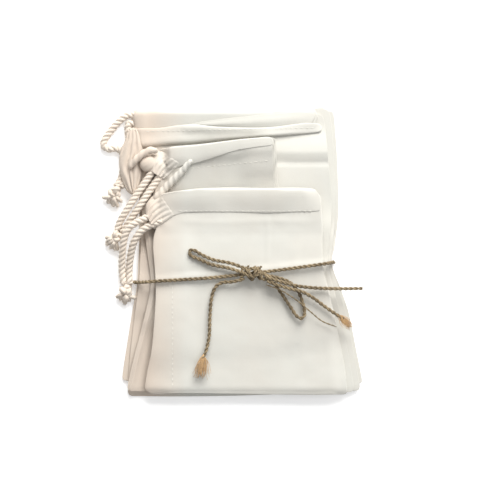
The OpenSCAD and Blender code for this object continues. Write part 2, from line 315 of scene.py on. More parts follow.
def ring_faces(rings, sides):
    """Faces of a closed tube of rings, with both ends capped."""
    faces = []
    for i in range(rings - 1):
        for j in range(sides):
            k = (j + 1) % sides
            faces.append((i * sides + j, i * sides + k, (i + 1) * sides + k, (i + 1) * sides + j))
    faces.append(tuple(range(sides))[::-1])
    faces.append(tuple((rings - 1) * sides + j for j in range(sides)))
    return faces


def strands_of(line, radius, plies, pitch, phase):
    """The centre lines of the plies that twist round a line, one turn each pitch."""
    _, normals, across = frames_along(line)
    steps = np.linalg.norm(np.diff(line, axis=0), axis=1)
    turn = phase + 2 * math.pi * np.concatenate([[0], np.cumsum(steps)]) / pitch
    lines = []
    for ply in range(plies):
        angle = turn + 2 * math.pi * ply / plies
        lines.append(line + radius * (np.cos(angle)[:, None] * normals + np.sin(angle)[:, None] * across))
    return lines


TAPER_POINTS = 12


def twisted(line, diameter, plies, pitch, phase=0.0, sides=10, ends=(1.0, 1.0)):
    """The parts of a laid cord: its plies touch each other and fill the diameter. ends scales each end."""
    share = 1 / (1 + 1 / math.sin(math.pi / plies))
    ply_r = diameter / 2 * share
    offset = diameter / 2 * (1 - share)
    count = len(line)
    near = min(TAPER_POINTS, count // 2)
    swell = np.ones(count)
    swell[:near] = np.linspace(ends[0], 1, near)
    swell[count - near :] = np.linspace(1, ends[1], near)
    turns = -2.2 * length_of(line) / pitch
    strands = strands_of(line, offset, plies, pitch, phase)
    return [tube(strand, ply_r * 1.1 * swell, sides, 4, 0.07, turns) for strand in strands]


def fibre(rng, root, heading, length, radius, curl):
    """One loose fibre: a thin tube of three sides that bends at random and tapers."""
    steps = 6
    direction = unit(np.array(heading, float))
    point = np.array(root, float)
    line = [point]
    for _ in range(steps):
        direction = unit(direction + curl * np.array([rng.gauss(0, 1) for _ in range(3)]))
        point = point + direction * length / steps
        line.append(point)
    return tube(np.array(line), radius * np.linspace(1, 0.35, steps + 1), 3)


HAIR_CURL = 0.22


def hairs(rng, line, reach, count, length, radius, lift=0.2):
    """Fibres that stand out of a cord along its line."""
    tangents, normals, across = frames_along(line)
    parts = []
    for _ in range(count):
        i = rng.randrange(len(line))
        angle = rng.uniform(0, 2 * math.pi)
        outward = math.cos(angle) * normals[i] + math.sin(angle) * across[i]
        if outward[2] < -0.3:
            outward[2] = abs(outward[2])
        heading = tangents[i] * rng.choice((-1, 1)) * rng.uniform(0.3, 1.6) + outward + UP * lift
        size = length * rng.uniform(0.4, 1.0)
        parts.append(fibre(rng, line[i] + outward * reach * 0.8, heading, size, radius, HAIR_CURL))
    return parts


def mesh_object(name, parts, material):
    """One object from many (vertices, faces) parts."""
    vertices, faces, base = [], [], 0
    for part_vertices, part_faces in parts:
        vertices.append(np.asarray(part_vertices, float))
        faces.extend(tuple(base + i for i in face) for face in part_faces)
        base += len(part_vertices)
    mesh = bpy.data.meshes.new(name)
    mesh.from_pydata(np.vstack(vertices).tolist(), [], faces)
    mesh.update()
    mesh.polygons.foreach_set("use_smooth", [True] * len(mesh.polygons))
    mesh.materials.append(material)
    piece = bpy.data.objects.new(name, mesh)
    bpy.context.scene.collection.objects.link(piece)
    return piece


def add_piece(piece, body, slot, *nodes):
    """Rides on its body and stands for CAD nodes, which it hides; its slot is not used."""
    if nodes:
        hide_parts(*nodes)
    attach(piece, body)
    return piece


# ---------------------------------------------------------------- drawcords

# Routes and centres are in millimetres.
CORD_ROUTES = {
    "large_bag_cord_a": [
        (-56, 95.5, 3), (-76, 95.5, 3), (-81, 94.2, 2.8), (-86.5, 89.5, 2.4), (-91.5, 83.5, 2.3),
        (-95.3, 78, 2.3), (-95.8, 73.8, 2.3), (-92, 71.6, 2.3), (-87.5, 72.2, 2.3), (-83.5, 70, 2.3),
        (-82, 64.5, 2.3), (-82.4, 57, 2.3), (-84, 50.5, 2.6), (-87, 45.5, 4),
    ],
    "large_bag_cord_b": [
        (-56, 89.5, 3), (-76, 89.5, 3), (-78.6, 88, 2.8), (-79, 84.5, 2.4), (-78, 79, 2.3),
        (-77.2, 72, 2.3), (-77.4, 62, 2.3), (-79.4, 53, 2.6), (-83.5, 45, 4),
    ],
    "medium_bag_cord_a": [
        (-52.1, 59, 9.2), (-56.5, 52.3, 9.2), (-60.5, 46.4, 9.1), (-65, 40, 9), (-70.5, 31.5, 8.6),
        (-75.5, 24, 7), (-79.5, 18, 5.4), (-82.5, 13.5, 4.6),
    ],
    "medium_bag_cord_b": [
        (-57.1, 62.3, 9.2), (-61.5, 55.7, 9.2), (-65.6, 49.6, 9.1), (-70, 43.3, 9), (-75.5, 35, 8.6),
        (-80, 28, 7.4), (-84, 21.5, 5.6), (-86.3, 15.3, 4.6),
    ],
    "small_bag_cord_a": [
        (-57, 27.5, 13.1), (-64.3, 24.1, 13.1), (-69, 21.9, 13), (-73.5, 19.6, 12.9), (-77.3, 16.6, 12.4),
        (-80, 12, 11.6), (-81.8, 5, 10), (-82.8, -4, 7), (-83, -13, 4.4), (-81.8, -22.5, 4.2),
    ],
    "small_bag_cord_b": [
        (-54.5, 22.1, 13.1), (-61.7, 18.7, 13.1), (-66, 16.5, 13), (-69.8, 13.5, 12.4),
        (-72.8, 9.4, 11.4), (-75.2, 4, 9.8), (-77, -4, 6.8), (-78, -13, 4.4), (-77.8, -22.6, 4.4),
    ],
}
KNOTS = {
    "large_bag": {"centre": (-88, 41.5, 4.2), "heading": 256, "turn": 20},
    "medium_bag": {"centre": (-86.5, 10.6, 4.4), "heading": 230, "turn": 75},
    "small_bag": {"centre": (-80, -27, 4.4), "heading": 262, "turn": 140},
}
CORD_PITCH = 10.5 * MM
KNOT_SCALE = 1.05 * MM
KNOT_CORD_D = 4.1 * MM
CORE_SHARE = 0.82
CORD_HAIRS = 26
KNOT_HAIRS = 40
FRAY_L = 8.0 * MM
FRAY_YARNS = 6
FRAY_SPREAD = 92
BRUSH_FIBRES = 16
BRUSH_R = 0.11 * MM
BRUSH_CURL = 0.35


def overhand_knot(rng, centre, turn, material, name):
    """A hard round knot: a cord tied over itself, drawn tight, with a few fibres worked loose."""
    t = np.linspace(0, 2 * math.pi, 90)
    trefoil = np.stack(
        [np.sin(t) + 2 * np.sin(2 * t), np.cos(t) - 2 * np.cos(2 * t), -1.55 * np.sin(3 * t)], axis=1
    )
    a = math.radians(turn)
    spin = np.array([[math.cos(a), -math.sin(a), 0], [math.sin(a), math.cos(a), 0], [0, 0, 1]])
    tilt = math.radians(24)
    lean = np.array([[1, 0, 0], [0, math.cos(tilt), -math.sin(tilt)], [0, math.sin(tilt), math.cos(tilt)]])
    line = centre + KNOT_SCALE * trefoil @ (spin @ lean).T
    parts = twisted(line, KNOT_CORD_D, 3, CORD_PITCH * 0.9)
    parts.append(tube(line, CORE_SHARE * KNOT_CORD_D / 2, 14))
    parts += hairs(rng, line, KNOT_CORD_D / 2, KNOT_HAIRS, 1.6 * MM, 0.05 * MM)
    rest_on_floor(parts)
    return mesh_object(name, parts, material)


def rest_on_floor(parts):
    """Flattens parts a little where they lie on the floor."""
    for vertices, _ in parts:
        vertices[:, 2] = np.maximum(vertices[:, 2], FLOOR_GAP)


def frayed_end(rng, centre, heading, material, name):
    """The unlaid plies past a knot: short fat yarns that fan out, each ending in a brush of fibres."""
    parts = []
    for i in range(FRAY_YARNS):
        spread = (i / (FRAY_YARNS - 1) - 0.5) * FRAY_SPREAD + rng.uniform(-7, 7)
        out, across = level_axes(heading + spread)
        length = FRAY_L * rng.uniform(0.72, 1.05)
        rise = rng.uniform(0.2, 2.2) * MM
        curl = rng.uniform(-1.3, 1.3) * MM
        start = centre + out * 2.2 * MM
        points = [
            start,
            start + out * length * 0.4 + across * curl + UP * (rise - 0.5 * MM),
            start + out * length * 0.75 + across * curl * 0.2 + UP * (rise * 0.3 - 1.2 * MM),
            start + out * length - across * curl + UP * (rise * 0.2 - 1.8 * MM),
        ]
        line = smooth_line(points, 0.35 * MM)
        line[:, 2] = np.maximum(line[:, 2], 1.1 * MM)
        share = np.linspace(0, 1, len(line))
        radii = np.interp(share, [0, 0.35, 0.7, 0.9, 1], [0.9, 1.2, 1.5, 1.45, 0.95]) * MM
        parts.append(tube(line, radii, 10, 4, 0.13, 2.4))
        for _ in range(BRUSH_FIBRES):
            where = line[-1 - rng.randrange(5)]
            to = out + 0.75 * np.array([rng.gauss(0, 1), rng.gauss(0, 1), rng.gauss(0, 0.5)])
            parts.append(fibre(rng, where, to, rng.uniform(1.2, 3.0) * MM, BRUSH_R, BRUSH_CURL))
    rest_on_floor(parts)
    return mesh_object(name, parts, material)


def drawcord(rng, bag, body, material):
    """One bag's drawcord: two laid cords out of its casing, the knot that ties them and the frayed end."""
    knot = KNOTS[bag]
    centre = np.array(knot["centre"]) * MM
    knotted = overhand_knot(rng, centre, knot["turn"], material, f"{bag}_tied_knot")
    frayed = frayed_end(rng, centre, knot["heading"], material, f"{bag}_unlaid_end")
    add_piece(knotted, body, "cotton_cord", f"{bag}_knot")
    add_piece(frayed, body, "cotton_cord", f"{bag}_frayed_end")
    for side, ends in (("a", [knotted, frayed]), ("b", [])):
        node = f"{bag}_cord_{side}"
        line = cord_line(CORD_ROUTES[node])
        phase = 0.0 if side == "a" else 1.1
        parts = twisted(line, SOFT_CORD_D, 3, CORD_PITCH, phase, sides=12)
        parts.append(tube(line, CORE_SHARE * SOFT_CORD_D / 2, 16))
        parts += hairs(rng, line, SOFT_CORD_D / 2, CORD_HAIRS, 1.5 * MM, 0.045 * MM)
        rest_on_floor(parts)
        piece = mesh_object(f"{bag}_laid_cord_{side}", parts, material)
        add_piece(piece, body, "cotton_cord", node)


# ---------------------------------------------------------------- twine

WRAP_ROUTE = [
    (8, -15, 15.4), (32, -12, 15.4), (56.5, -8.6, 15.4), (61, -8, 11), (64.6, -7.4, 4.4),
    (63.9, -7.5, 2.4), (61.5, -7.7, 1.5), (20, -11.9, 1.5), (-25, -16.4, 1.5), (-71, -21.1, 1.5),
    (-73.4, -21.4, 2.4), (-74.2, -21.5, 4.4), (-68.5, -21.2, 10), (-61.5, -20.6, 15.4),
    (-40, -19.3, 15.4), (-20, -18, 15.4), (8, -15, 15.4),
]
TWINE_ROUTES = {
    "twine_left_loop": [
        (3, -11.6, 18.2), (-7, -8, 17), (-19, -5.6, 16), (-27, -2.2, 15.5), (-32.5, 1, 15.5),
        (-35.4, 0.4, 15.5), (-34.6, -2.6, 15.5), (-28, -5.6, 15.5), (-20, -9, 16), (-8.3, -11.4, 17.2),
        (0.6, -14.3, 18.4),
    ],
    "twine_left_tail": [
        (2.2, -18.8, 17.4), (-6, -20.8, 16.6), (-13, -21.4, 15.8), (-18, -25, 15.4), (-20.5, -33, 15.4),
        (-21.5, -45, 15.4), (-22, -58, 15.4), (-24, -68, 15.4), (-26.5, -74, 15.4),
    ],
    "twine_right_loop": [
        (14.5, -18.5, 18), (22, -21.5, 16.6), (28, -29, 15.5), (34, -38, 15.5), (38.5, -44.5, 15.5),
        (42, -46, 15.5), (44, -42.5, 15.5), (42.5, -35, 15.5), (39.5, -27.5, 15.5), (34, -21.5, 15.5),
        (27, -18.5, 16.2), (16.6, -16.2, 17.2),
    ],
    "twine_right_long_tail": [
        (17.5, -17.5, 20), (25, -20, 19.8), (33, -22.3, 19), (41, -24, 17.2), (50, -25, 15.8),
        (60, -25.5, 15.4), (72, -25.6, 15), (84, -25.5, 14.5),
    ],
    "twine_right_short_tail": [
        (18, -20.4, 19.8), (26, -23.2, 19.5), (34, -25.6, 19), (42, -27.6, 18.2), (50, -32, 16.6),
        (58, -38, 15.6), (66, -43.5, 15.5), (71, -46.5, 15.3),
    ],
    "twine_stray_strand": [
        (17.5, -22.8, 19.2), (26, -25.9, 18.8), (34, -30.5, 18.4), (41, -35.5, 18), (48, -41.5, 17),
        (56, -48, 15.4), (66, -52, 15),
    ],
}
TWINE_PITCH = 7.0 * MM
TWINE_PLIES = 2
STRAND_D = 1.0 * MM
TWINE_HAIR_L = 2.0 * MM
BOW_CENTRE = (8.5, -15.0, 17.6)
# Each turn of the bow knot: how far right of its centre, tilt in radians, width, height and rise.
BOW_TURNS = [(-3.4, 0.5, 2.6, 4.2, 0.2), (0.4, -0.35, 2.4, 4.4, 0.5), (4.0, 0.25, 2.5, 4.0, 0.1)]
BOW_CROSSINGS = [
    [(-8.5, 2.2, -0.2), (-5.0, -0.6, 2.2), (0, -2.2, 2.9), (5.5, 0.4, 2.3), (9.5, -2.6, 0.8)],
    [(-8.5, -2.8, -0.4), (-3.5, 2.6, 1.2), (2.0, 2.8, 1.8), (8.5, -0.6, 1.2)],
]
# Each tuft: side, body, root in metres, heading in degrees, length, width and number of fibres.
TUFTS = [
    ("left", "left_tail", (-0.0262, -0.0735, 0.0156), 262, 15 * MM, 10 * MM, 120),
    ("right", "right_tails", (0.0685, -0.0452, 0.0156), 320, 12 * MM, 6 * MM, 80),
]
# Each loose run: node, body, far end, diameter, how full its two ends are, and the tuft at its far end.
TWINE_RUNS = [
    ("twine_left_loop", "left_loop", "object", TWINE_D, (1, 1), None),
    ("twine_left_tail", "left_tail", "bare", TWINE_D, (1, 0.8), "left"),
    ("twine_right_loop", "right_loop", "object", TWINE_D, (1, 1), None),
    ("twine_right_long_tail", "right_tails", "bare", TWINE_D, (1, 0.8), None),
    ("twine_right_short_tail", "right_tails", "bare", TWINE_D, (1, 0.9), "right"),
    ("twine_stray_strand", "right_tails", "bare", STRAND_D, (1, 0.5), None),
]


def twine_parts(rng, line, diameter=TWINE_D, fuzz=1.0, ends=(1.0, 1.0)):
    """Laid jute: two lumpy plies and the hairs that stand out of them, fuzz hairs a millimetre."""
    parts = twisted(line, diameter, TWINE_PLIES, TWINE_PITCH, rng.uniform(0, 6), ends=ends)
    parts += hairs(rng, line, diameter / 2, int(fuzz * length_of(line) / MM), TWINE_HAIR_L, 0.06 * MM, 0.35)
    return parts


def tuft_parts(rng, root, heading, length, width, count):
    """A brush of unlaid fibres that fans out from a root and lies down."""
    parts = []
    out, across = level_axes(heading)
    for _ in range(count):
        side = rng.gauss(0, 0.45)
        reach = length * rng.uniform(0.6, 1.05)
        start = np.array(root) - out * rng.uniform(0.5, 3.0) * MM + UP * rng.uniform(-0.5, 0.6) * MM
        bend = rng.uniform(-1, 1) * 0.8 * MM
        points = [
            start,
            start + out * reach * 0.35 + across * side * width * 0.3,
            start + out * reach * 0.7 + across * (side * width * 0.42 + bend) - UP * 0.2 * MM,
            start + out * reach + across * (side * width * 0.5 - bend) - UP * rng.uniform(0.2, 0.7) * MM,
        ]
        line = smooth_line(points, 1.3 * MM)
        parts.append(tube(line, np.linspace(0.2, 0.08, len(line)) * MM, 4))
    return parts


def bow_knot_parts(rng):
    """The middle of the bow: turns of twine crossed over the wrap and drawn tight."""
    parts = []
    t = np.linspace(0.0, 2.15 * math.pi, 60)
    for to_right, tilt, wide, tall, rise in BOW_TURNS:
        x = wide * 0.55 * np.sin(t) + 0.45 * (t - math.pi)
        y = tall * np.cos(t)
        turned_x = x * math.cos(tilt) - y * math.sin(tilt)
        turned_y = x * math.sin(tilt) + y * math.cos(tilt)
        turn = np.stack([to_right + turned_x, turned_y, 2.5 * np.sin(t) + rise], axis=1)
        parts += twine_parts(rng, (BOW_CENTRE + turn) * MM, TWINE_D * 0.98, fuzz=0.8)
    for crossing in BOW_CROSSINGS:
        line = smooth_line((np.array(BOW_CENTRE) + crossing) * MM, 0.4 * MM)
        parts += twine_parts(rng, line, fuzz=1.2)
    return parts


def tie_twine(material, golden):
    """The wrap, the bow's knot, its two loops and its four loose ends, each on its own body."""
    rng = random.Random(7)
    wrap = mesh_object("wrap_twine", twine_parts(rng, cord_line(WRAP_ROUTE), fuzz=0.8), material)
    add_piece(wrap, "bundle", "jute_twine", "twine_wrap")
    knot = mesh_object("bow_knot_turns", bow_knot_parts(rng), material)
    add_piece(knot, "bundle", "jute_twine", "twine_bow_knot")
    for side, body, *shape in TUFTS:
        tuft = mesh_object(f"{side}_tuft_fibres", tuft_parts(rng, *shape), golden)
        add_piece(tuft, body, "jute_twine", f"twine_{side}_tuft")
    for node, body, far_end, diameter, ends, tuft_side in TWINE_RUNS:
        line = cord_line(TWINE_ROUTES[node])
        piece = mesh_object(f"{node}_laid", twine_parts(rng, line, diameter, ends=ends), material)
        add_piece(piece, body, "jute_twine", node)


# ---------------------------------------------------------------- the pile of cloth
# From here on everything is in millimetres until a mesh is made.

PILE_X0, PILE_Y0 = -112, -112
PILE_W, PILE_H = 206, 224


def blur(field, sigma):
    """A field smoothed by a Gaussian of that width, in cells; sigma is one number or (x, y)."""
    sigma_x, sigma_y = (sigma, sigma) if np.isscalar(sigma) else sigma
    for axis, width in ((1, sigma_x), (0, sigma_y)):
        reach = int(math.ceil(3 * width))
        if reach < 1:
            continue
        kernel = np.exp(-0.5 * (np.arange(-reach, reach + 1) / width) ** 2)
        kernel /= kernel.sum()
        pads = [(reach, reach) if a == axis else (0, 0) for a in (0, 1)]
        padded = np.pad(field, pads, mode="edge")
        total = np.zeros_like(field)
        for k, weight in enumerate(kernel):
            window = [slice(None), slice(None)]
            window[axis] = slice(k, k + field.shape[axis])
            total += weight * padded[tuple(window)]
        field = total
    return field


def widen(field, reach):
    """Each cell takes the highest value within reach cells."""
    for axis in (0, 1):
        highest = field.copy()
        for shift in range(1, reach + 1):
            for sign in (-1, 1):
                highest = np.maximum(highest, np.roll(field, sign * shift, axis))
        field = highest
    return field


def sample(field, x, y):
    """A field read between its cells at x, y."""
    gx = np.clip(x - PILE_X0, 0, PILE_W - 1.001)
    gy = np.clip(y - PILE_Y0, 0, PILE_H - 1.001)
    ix, iy = gx.astype(int), gy.astype(int)
    fx, fy = gx - ix, gy - iy
    near = field[iy, ix] * (1 - fx) + field[iy, ix + 1] * fx
    far = field[iy + 1, ix] * (1 - fx) + field[iy + 1, ix + 1] * fx
    return near * (1 - fy) + far * fy


def soft_noise(seed, sigma):
    """A smooth random field over the pile, from about -1 to 1, with features about sigma cells wide."""
    field = blur(np.random.default_rng(seed).standard_normal((PILE_H, PILE_W)), sigma)
    return field / (2.2 * field.std())


CELL_X, CELL_Y = np.meshgrid(np.arange(PILE_W) + PILE_X0, np.arange(PILE_H) + PILE_Y0)
WAVES = soft_noise(11, 13)
RIPPLES = soft_noise(12, 5)
CRUMPLE = soft_noise(13, 2.2)
LONG_FOLDS = soft_noise(14, (3.0, 30))
CROSS_FOLDS = soft_noise(15, (30, 3.0))


def twine_distance(x, y):
    """How far x, y is from the line of the wrap, in plan."""
    a, b = np.array([-73.0, -21.4]), np.array([63.5, -8.0])
    along = (b - a) / np.linalg.norm(b - a)
    return np.abs((x - a[0]) * along[1] - (y - a[1]) * along[0])


def polyline_distance(x, y, points):
    """(distance to a polyline, share of the way along it) for each x, y."""
    best = np.full(np.shape(x), np.inf)
    share = np.zeros(np.shape(x))
    points = np.array(points, float)
    lengths = np.linalg.norm(np.diff(points, axis=0), axis=1)
    before = np.concatenate([[0], np.cumsum(lengths)])
    for a, b, start, length in zip(points, points[1:], before, lengths):
        d = (b - a) / length
        t = np.clip((x - a[0]) * d[0] + (y - a[1]) * d[1], 0, length)
        distance = np.hypot(x - a[0] - t * d[0], y - a[1] - t * d[1])
        nearer = distance < best
        best = np.where(nearer, distance, best)
        share = np.where(nearer, (start + t) / before[-1], share)
    return best, share


def crease(x, y, points, width, height):
    """A soft ridge of that height along a polyline; it fades over a share of its length at both ends."""
    distance, share = polyline_distance(x, y, points)
    ends = np.clip(np.minimum(share, 1 - share) / 0.15, 0, 1)
    return height * np.exp(-((distance / width) ** 2)) * ends


EDGE_STEP = 0.4


def edge_line(points, step):
    """Points about step apart on a curve through the given ones, whose long and short spans don't pull
    on each other."""
    p = np.array(points, float)
    spans = np.linalg.norm(np.diff(p, axis=0), axis=1)[:, None]
    inner = (p[2:] - p[:-2]) / (spans[:-1] + spans[1:])
    tangents = np.vstack([(p[1] - p[0]) / spans[0], inner, (p[-1] - p[-2]) / spans[-1]])
    t = np.linspace(0, 1, 20, endpoint=False)[:, None]
    pieces = []
    for a, b, out_of_a, into_b, span in zip(p, p[1:], tangents, tangents[1:], spans):
        straight = (2 * t**3 - 3 * t**2 + 1) * a + (3 * t**2 - 2 * t**3) * b
        pieces.append(straight + span * ((t**3 - 2 * t**2 + t) * out_of_a + (t**3 - t**2) * into_b))
    return resample(np.vstack([*pieces, p[-1:]]), step)


def patch(left, right, bottom, top, step, corner):
    """XY of a grid of points over a four-sided piece of cloth with curved edges and rounded corners.

    left and right run from the bottom up; bottom and top hold the points between the corners."""
    corners = np.array([left[0], right[0], right[-1], left[-1]], float)
    inner = {"bottom": bottom, "right": right[1:-1], "top": top, "left": left[1:-1]}
    order = {"bottom": (0, 1), "right": (1, 2), "top": (3, 2), "left": (0, 3)}
    pulled = corners.copy()
    lines = {}
    for name, (start, end) in order.items():
        points = np.array([corners[start], *inner[name], corners[end]], float)
        out_start, out_end = unit(points[1] - points[0]), unit(points[-2] - points[-1])
        pulled[start] += 0.3 * corner * out_start
        pulled[end] += 0.3 * corner * out_end
        lines[name] = (points, out_start, out_end)
    edges = {}
    for name, (start, end) in order.items():
        points, out_start, out_end = lines[name]
        points[0] += corner * out_start
        points[-1] += corner * out_end
        edges[name] = edge_line([pulled[start], *points, pulled[end]], EDGE_STEP)
    across = max(np.linalg.norm(corners[1] - corners[0]), np.linalg.norm(corners[2] - corners[3]))
    up = max(np.linalg.norm(corners[3] - corners[0]), np.linalg.norm(corners[2] - corners[1]))
    s, t = shares(int(across / step) + 3), shares(int(up / step) + 3)
    low, high = at_shares(edges["bottom"], s)[None], at_shares(edges["top"], s)[None]
    west, east = at_shares(edges["left"], t)[:, None], at_shares(edges["right"], t)[:, None]
    s, t = s[None, :, None], t[:, None, None]
    ruled = (1 - t) * low + t * high + (1 - s) * west + s * east
    bilinear = (1 - t) * ((1 - s) * pulled[0] + s * pulled[1]) + t * ((1 - s) * pulled[3] + s * pulled[2])
    return ruled - bilinear


def shares(count):
    """Shares from 0 to 1, closer together towards both ends so that rims stay crisp."""
    even = np.linspace(0, 1, count - 2)
    bunched = even - 0.6 * np.sin(2 * math.pi * even) / (2 * math.pi)
    near = 0.3 * bunched[1]
    return np.concatenate([[0, near], bunched[1:-1], [1 - near, 1]])


def at_shares(line, wanted):
    """Points of a polyline at shares of its length."""
    along = np.concatenate([[0], np.cumsum(np.linalg.norm(np.diff(line, axis=0), axis=1))])
    return np.stack([np.interp(wanted * along[-1], along, line[:, k]) for k in (0, 1)], axis=1)


class Pile:
    """The heights of the cloth laid so far, and the pieces waiting to be pressed by the twine."""

    def __init__(self):
        self.floor = 2.95 * np.exp(-((twine_distance(CELL_X, CELL_Y) / 2.4) ** 2))
        self.top = self.floor.copy()
        self.laid = []

    def support(self, softness, bridge):
        """What the next cloth lies on: the top so far, bridged over its steps."""
        return blur(widen(self.top, bridge), softness)

    def raise_to(self, x, y, z):
        """Lifts the cells under a grid of points to its heights."""
        self.top = raised(self.top, x, y, z)

    def lay(self, xy, thickness, gap, relief, softness, bridge):
        """Lays a sheet on the pile: (its grid, its lower heights, its upper heights)."""
        x, y = xy[..., 0], xy[..., 1]
        low = sample(self.support(softness, bridge), x, y) + gap + relief
        high = low + thickness
        self.raise_to(x, y, high)
        return low, high


def raised(field, x, y, z):
    """A field whose cells under a grid of points are at least as high as the grid is there."""
    fine = [smooth_repeat(v) for v in (x, y, z)]
    cells = np.rint(fine[1] - PILE_Y0).astype(int) * PILE_W + np.rint(fine[0] - PILE_X0).astype(int)
    total = np.bincount(cells.ravel(), fine[2].ravel(), PILE_W * PILE_H)
    count = np.bincount(cells.ravel(), None, PILE_W * PILE_H)
    mean = np.where(count > 0, total / np.maximum(count, 1), -1.0)
    return np.maximum(field, mean.reshape(field.shape))


def smooth_repeat(grid):
    """A grid read at three times as many places each way."""
    rows = np.linspace(0, grid.shape[0] - 1, grid.shape[0] * 3)
    columns = np.linspace(0, grid.shape[1] - 1, grid.shape[1] * 3)
    r = np.minimum(rows.astype(int), grid.shape[0] - 2)
    c = np.minimum(columns.astype(int), grid.shape[1] - 2)
    fr, fc = (rows - r)[:, None], (columns - c)[None, :]
    upper = grid[r][:, c] * (1 - fc) + grid[r][:, c + 1] * fc
    lower = grid[r + 1][:, c] * (1 - fc) + grid[r + 1][:, c + 1] * fc
    return upper * (1 - fr) + lower * fr


def sheet_parts(xy, low, high):
    """(vertices in mm, faces) of a closed sheet between two height grids, with a rounded rim."""
    nv, nu = low.shape
    top = np.concatenate([xy, high[..., None]], axis=2).reshape(-1, 3)
    base = np.concatenate([xy, low[..., None]], axis=2).reshape(-1, 3)
    ring = list(range(nu))
    ring += [i * nu + nu - 1 for i in range(1, nv)]
    ring += [(nv - 1) * nu + j for j in range(nu - 2, -1, -1)]
    ring += [i * nu for i in range(nv - 2, 0, -1)]
    ring = np.array(ring)
    here = top[ring]
    tangent = unit(np.roll(here, -1, 0)[:, :2] - np.roll(here, 1, 0)[:, :2])
    outward = np.stack([tangent[:, 1], -tangent[:, 0]], axis=1)
    middle = (top[ring, 2] + base[ring, 2]) / 2
    half = (top[ring, 2] - base[ring, 2]) / 2
    rims = []
    for degrees in (50, 0, -50):
        a = math.radians(degrees)
        rim = here.copy()
        rim[:, :2] += outward * (half * math.cos(a) * 0.9)[:, None]
        rim[:, 2] = middle + half * math.sin(a)
        rims.append(rim)
    vertices = np.vstack([top, base, *rims])
    count = nu * nv
    faces = []
    for i in range(nv - 1):
        for j in range(nu - 1):
            a, b, c, d = i * nu + j, i * nu + j + 1, (i + 1) * nu + j + 1, (i + 1) * nu + j
            faces.append((a, b, c, d))
            faces.append((count + d, count + c, count + b, count + a))
    levels = [ring] + [2 * count + k * len(ring) + np.arange(len(ring)) for k in range(3)] + [count + ring]
    for upper, lower in zip(levels, levels[1:]):
        for k in range(len(ring)):
            n = (k + 1) % len(ring)
            faces.append((upper[k], lower[k], lower[n], upper[n]))
    return vertices, faces


def ease(t):
    """A share from 0 to 1 that starts and stops softly."""
    return t * t * (3 - 2 * t)


def gentle(x, y, amount):
    """The shallow waves that all this cloth has, never below zero."""
    waves = 0.5 + 0.30 * sample(WAVES, x, y) + 0.22 * sample(RIPPLES, x, y) + 0.08 * sample(CRUMPLE, x, y)
    return amount * np.maximum(waves, 0)


def drawn_in(x, y, amount):
    """Folds that run out from the twine where it draws the cloth together."""
    near = np.exp(-twine_distance(x, y) / 13)
    to_side = 0.35 + 0.65 * np.clip((np.abs(x + 4) - 20) / 30, 0, 1)
    return amount * near * to_side * np.maximum(sample(LONG_FOLDS, x, y) + 0.25, 0)


def edge_share(shape):
    """(u, v) from 0 to 1 over a grid."""
    nv, nu = shape
    return np.meshgrid(shares(nu), shares(nv))


# The side edges of the bags' plies, from the foot up.
LARGE_LEFT = [
    (-83, -90), (-81.5, -78), (-79, -62), (-75.5, -40), (-72.6, -24), (-71.8, -10), (-71, 10), (-71, 40),
    (-72, 80), (-74.5, 96),
]
LARGE_RIGHT = [
    (85, -92), (80.5, -69), (75, -42), (69.3, -25), (63.2, -8), (65.4, 4), (67.9, 27), (67.2, 64),
    (65.5, 88), (64.5, 98),
]
BACK_LEFT = [
    (-79, -101), (-77.5, -75), (-74.5, -48), (-71.3, -24), (-70.3, -8), (-69.6, 12), (-69.5, 40),
    (-71.5, 80), (-74, 95.5),
]
BACK_RIGHT = [
    (83.3, -97), (78.4, -69), (73, -42), (67.2, -24), (62.1, -8), (63.6, 4), (65.6, 27), (64.8, 64),
    (63.2, 88), (61, 99.5),
]
FRONT_LEFT = [
    (-79.5, -97), (-75.5, -78), (-69.5, -55), (-64, -32), (-62.6, -21), (-64.5, -5), (-66.8, 12),
    (-69, 30), (-69.5, 60), (-71, 80), (-73, 94.5),
]
FRONT_RIGHT = [
    (79, -98), (74.2, -69), (68.8, -42), (63.8, -24), (60.3, -8), (61.2, 5), (63, 27), (62.3, 45),
    (60.8, 62), (58.6, 86), (57, 95.5),
]
MEDIUM_LEFT = [
    (-57, -93), (-57.5, -60), (-57, -21), (-57.5, 14), (-61, 38), (-58, 50), (-50, 62), (-48, 72),
]
MEDIUM_RIGHT = [
    (55, -94), (53, -60), (52, -8), (51.5, 16), (38, 34), (24.5, 43), (22.6, 52), (21.9, 66), (21, 78.6),
]
SMALL_LEFT = [
    (-67.5, -96), (-65.6, -83), (-62.6, -69), (-60.6, -48), (-59.7, -33), (-59.8, -20), (-60.6, -8),
    (-61.4, 3), (-60.8, 11), (-58, 20), (-56, 30), (-53, 40),
]
SMALL_RIGHT = [
    (73.5, -99), (71.4, -80), (65.8, -52), (60.2, -27), (56.8, -14), (56, -6), (55.5, 8), (55.8, 18),
    (54.8, 30), (52.5, 42),
]


def pleats(x, y, mouth, count, height, reach):
    """Pleats that run out from a gathered mouth and die away over that reach."""
    angle = np.arctan2(y - mouth[1], x - mouth[0])
    distance = np.hypot(x - mouth[0], y - mouth[1])
    wander = 0.8 * sample(WAVES, x, y) + 0.35 * sample(RIPPLES, x, y)
    return height * (0.5 + 0.5 * np.cos(count * angle + 2.0 * wander)) * np.exp(-((distance / reach) ** 2))


def moved(points, dx, dy=0.0, flare=0.0):
    """An edge shifted, and turned a little about its middle."""
    points = np.array(points, float)
    middle = points[:, 1].mean()
    lean = flare * (points[:, 1] - middle) / 100
    return [(x + dx + k, y + dy) for (x, y), k in zip(points, lean)]


